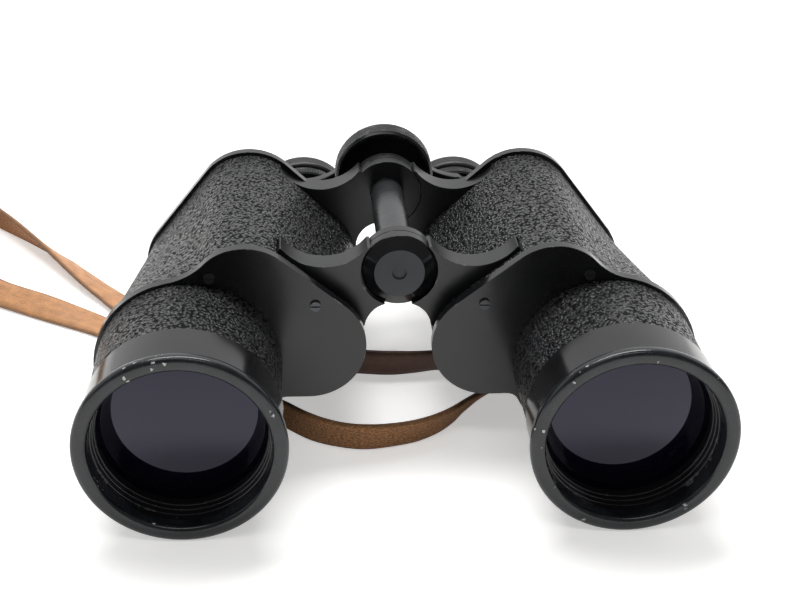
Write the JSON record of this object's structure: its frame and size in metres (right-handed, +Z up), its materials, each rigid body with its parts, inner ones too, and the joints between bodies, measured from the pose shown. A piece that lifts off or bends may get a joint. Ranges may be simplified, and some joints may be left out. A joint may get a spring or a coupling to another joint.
{
  "type": "porro prism binoculars",
  "caption": "Hand-held binoculars: two prism housings folding about a central hinge, focus wheel, sliding oculars and a loose leather neck strap.",
  "frame": {"origin": "on the surface it rests on, halfway along and across the pair, straight under the hinge", "axes": "+X across the pair to the right barrel, +Y from the objectives to the eyepieces, +Z up"},
  "size_m": [0.3206, 0.2357, 0.075],
  "materials": {
    "black_leather": "pebbled leatherette, semi-gloss",
    "black_enamel": "satin black enamel, worn at the edges",
    "satin_black_metal": "satin black",
    "blackened_metal": "matt black anodised",
    "steel": "blackened steel, bare at the edges",
    "ocular_metal": "black anodised, satin",
    "coated_glass": "polished, blue-violet coating",
    "clear_glass": "polished",
    "strap_leather": "tan strap leather, worn"
  },
  "bodies": {
    "left_half": {"objective_hood_left": "black_enamel", "objective_tube_left": "blackened_metal", "tube_leather_left": "black_leather", "objective_cell_left": "blackened_metal", "objective_ring_left": "blackened_metal", "crown_lens_left": "coated_glass", "flint_lens_left": "coated_glass", "front_cover_left": "black_enamel", "front_cover_screws_left": "steel", "prism_housing_left": "black_enamel", "body_leather_left": "black_leather", "strap_lug_left": "satin_black_metal", "rear_cover_left": "black_enamel", "rear_cover_screws_left": "steel", "objective_prism_left": "clear_glass", "eyepiece_prism_left": "clear_glass", "prism_clips_left": "steel", "hinge_tube": "steel", "hinge_cap": "black_enamel", "neck_strap_left_run": "strap_leather", "neck_strap_right_run": "strap_leather", "neck_strap_tail": "strap_leather", "neck_strap_roll": "strap_leather"},
    "right_half": {"objective_hood_right": "black_enamel", "objective_tube_right": "blackened_metal", "tube_leather_right": "black_leather", "objective_cell_right": "blackened_metal", "objective_ring_right": "blackened_metal", "crown_lens_right": "coated_glass", "flint_lens_right": "coated_glass", "front_cover_right": "black_enamel", "front_cover_screws_right": "steel", "prism_housing_right": "black_enamel", "body_leather_right": "black_leather", "strap_lug_right": "satin_black_metal", "rear_cover_right": "black_enamel", "rear_cover_screws_right": "steel", "objective_prism_right": "clear_glass", "eyepiece_prism_right": "clear_glass", "prism_clips_right": "steel"},
    "focus_wheel": {"focus_wheel": "satin_black_metal"},
    "left_ocular": {"ocular_arm_left": "satin_black_metal", "ocular_tube_left": "ocular_metal", "field_lens_left": "clear_glass", "eye_lens_cell_left": "blackened_metal", "eye_lens_left": "clear_glass", "ocular_ring_left": "ocular_metal", "eyecup_left": "black_enamel", "focus_spindle": "steel", "bridge_screw": "steel"},
    "right_ocular": {"ocular_arm_right": "satin_black_metal", "ocular_tube_right": "ocular_metal", "field_lens_right": "clear_glass"},
    "dioptre_ring": {"dioptre_ring_right": "ocular_metal", "eyecup_right": "black_enamel"},
    "right_eye_lens": {"eye_lens_cell_right": "blackened_metal", "eye_lens_right": "clear_glass"}
  },
  "joints": [
    {"name": "hinge_fold", "type": "hinge", "parent": "left_half", "child": "right_half", "pos_m": [0, 0, 0.058], "axis": [0, -1, 0], "range_deg": [0, 62]},
    {"name": "focus_wheel_turn", "type": "hinge", "parent": "left_half", "child": "focus_wheel", "pos_m": [0, 0.05025, 0.058], "axis": [0, 1, 0], "range_deg": [-130, 260]},
    {"name": "left_ocular_slide", "type": "slide", "parent": "left_half", "child": "left_ocular", "axis": [0, 1, 0], "range_m": [-0.003, 0.006]},
    {"name": "right_ocular_slide", "type": "slide", "parent": "right_half", "child": "right_ocular", "axis": [0, 1, 0], "range_m": [-0.003, 0.006]},
    {"name": "dioptre_turn", "type": "hinge", "parent": "right_ocular", "child": "dioptre_ring", "pos_m": [0.02783, 0.06925, 0.03469], "axis": [0, 1, 0], "range_deg": [-60, 60]},
    {"name": "right_eye_lens_slide", "type": "slide", "parent": "right_ocular", "child": "right_eye_lens", "axis": [0, 1, 0], "range_m": [-0.00115, 0.00115]}
  ],
  "couplings": [
    {"joint": "left_ocular_slide", "follows": "focus_wheel_turn", "m_per_rad": 0.0012732},
    {"joint": "right_ocular_slide", "follows": "focus_wheel_turn", "m_per_rad": 0.0012732},
    {"joint": "right_eye_lens_slide", "follows": "dioptre_turn", "m_per_rad": 0.00105}
  ]
}
